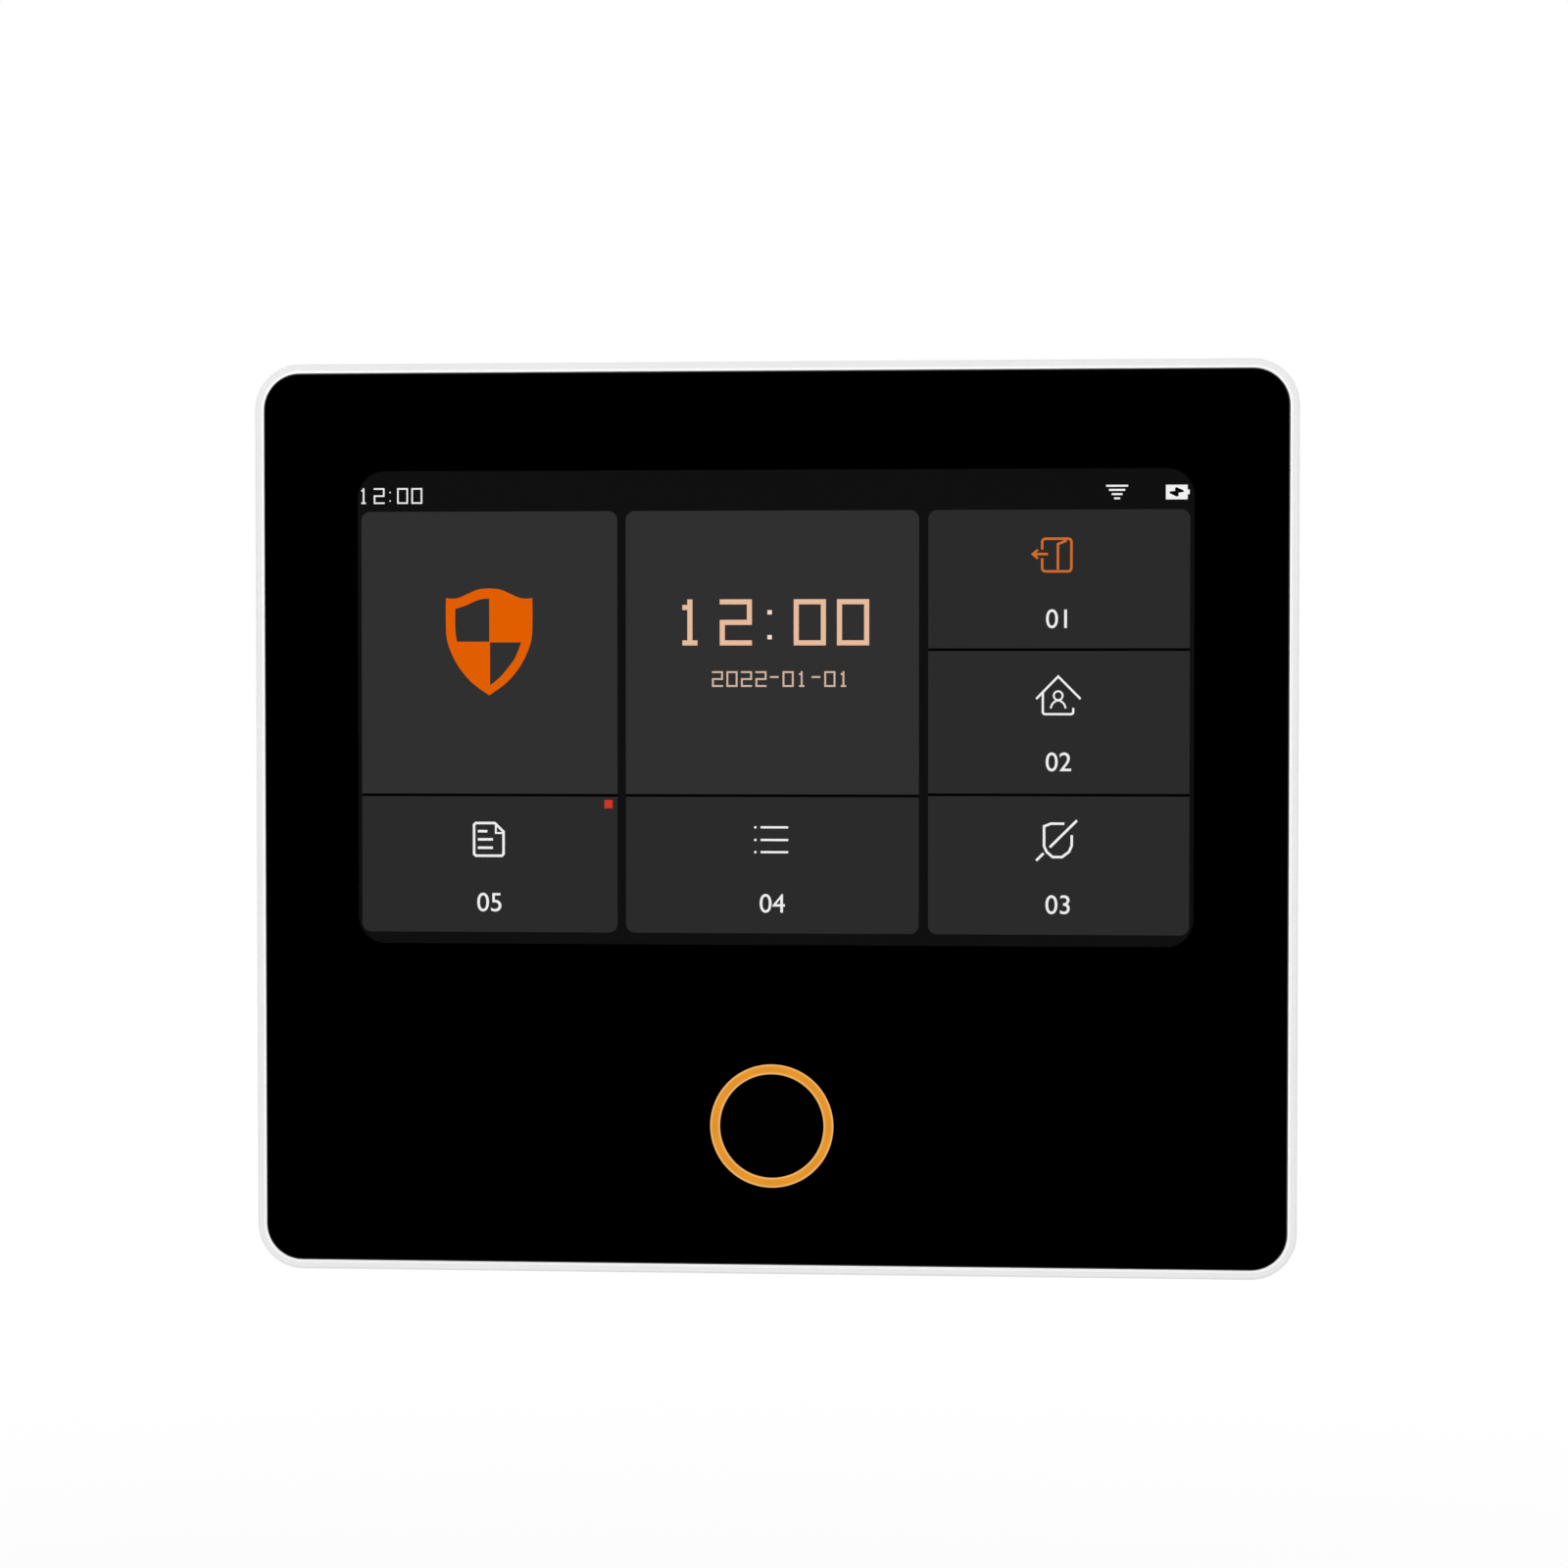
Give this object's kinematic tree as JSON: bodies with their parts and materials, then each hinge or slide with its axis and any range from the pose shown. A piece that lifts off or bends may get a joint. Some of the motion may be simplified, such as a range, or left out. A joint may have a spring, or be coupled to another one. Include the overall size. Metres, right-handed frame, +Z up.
{
  "type": "alarm keypad panel",
  "caption": "Wall-mounted alarm keypad panel: lit touch screen and ringed key behind one black-bordered glass, pale slim housing that lifts off a steel wall bracket.",
  "frame": {"origin": "centre of the wall bracket's rear face, which lies on the wall", "axes": "+Y points into the wall, so the glass faces -Y; +Z is up; +X is to the right for someone facing the screen"},
  "size_m": [0.1182, 0.018, 0.1034],
  "materials": {
    "bracket_steel": "zinc-plated sheet",
    "rear_plastic": "fine moulded texture, light grey",
    "rim_plastic": "satin moulded, light grey",
    "clear_glass": "polished, clear",
    "black_film": "printed black",
    "tape_black": "foam tape",
    "sensor_glass": "clear, bonded",
    "flex_amber": "polyimide ribbon",
    "display_glass": "lit liquid crystal cell",
    "backlight_white": "moulded frame",
    "foam_black": "foam",
    "orange_light": "frosted, lit orange",
    "led_white": "moulded",
    "key_black": "polished black",
    "switch_black": "moulded",
    "board_green": "solder mask",
    "screw_steel": "zinc-plated",
    "connector_ivory": "moulded",
    "chip_black": "moulded",
    "board_blue": "solder mask",
    "can_steel": "tinned sheet",
    "antenna_brass": "drawn wire",
    "ferrite_grey": "sintered",
    "can_aluminium": "drawn can",
    "inlet_steel": "nickel-plated",
    "inlet_black": "moulded",
    "knob_black": "moulded",
    "battery_foil": "laminated pouch",
    "lead_red": "insulated wire",
    "speaker_steel": "painted pressing",
    "cone_paper": "treated paper",
    "magnet_nickel": "nickel-plated",
    "pin_white": "acetal",
    "spring_steel": "drawn wire",
    "contact_gold": "plated"
  },
  "bodies": {
    "bracket": {"wall_bracket": "bracket_steel"},
    "key": {"ring_key": "key_black", "key_switch_plunger": "switch_black"},
    "pin": {"tamper_pin": "pin_white"},
    "knob": {"power_switch_knob": "knob_black"},
    "panel": {"rear_cover": "rear_plastic", "front_housing": "rim_plastic", "cover_glass": "clear_glass", "mask_film": "black_film", "glass_tape": "tape_black", "touch_sensor": "sensor_glass", "touch_flex": "flex_amber", "display_cell": "display_glass", "display_backlight": "backlight_white", "display_flex": "flex_amber", "display_foam": "foam_black", "ring_light_guide": "orange_light", "ring_leds": "led_white", "key_switch_body": "switch_black", "main_board": "board_green", "board_screws": "screw_steel", "cover_screws": "screw_steel", "display_connector": "connector_ivory", "touch_connector": "connector_ivory", "logic_chips": "chip_black", "wifi_board": "board_blue", "wifi_shield": "can_steel", "radio_board": "board_blue", "radio_antenna": "antenna_brass", "power_inductor": "ferrite_grey", "capacitors": "can_aluminium", "inlet_shell": "inlet_steel", "inlet_tongue": "inlet_black", "power_switch_body": "inlet_steel", "battery": "battery_foil", "battery_tape": "tape_black", "battery_leads": "lead_red", "battery_plug": "connector_ivory", "battery_socket": "connector_ivory", "speaker_frame": "speaker_steel", "speaker_cone": "cone_paper", "speaker_magnet": "magnet_nickel", "speaker_leads": "lead_red", "tamper_spring": "spring_steel", "tamper_contact": "contact_gold"}
  },
  "joints": [
    {"name": "panel_lift", "type": "slide", "parent": "bracket", "child": "panel", "axis": [0, 0, 1], "range_m": [0, 0.0058]},
    {"name": "key_press", "type": "slide", "parent": "panel", "child": "key", "axis": [0, 1, 0], "range_m": [0, 0.0004], "stiffness_N_per_m": 2000},
    {"name": "pin_release", "type": "slide", "parent": "panel", "child": "pin", "axis": [0, 1, 0], "range_m": [0, 0.0015], "stiffness_N_per_m": 200, "deforming": ["tamper_spring"]},
    {"name": "switch_slide", "type": "slide", "parent": "panel", "child": "knob", "axis": [1, 0, 0], "range_m": [0, 0.002]}
  ]
}
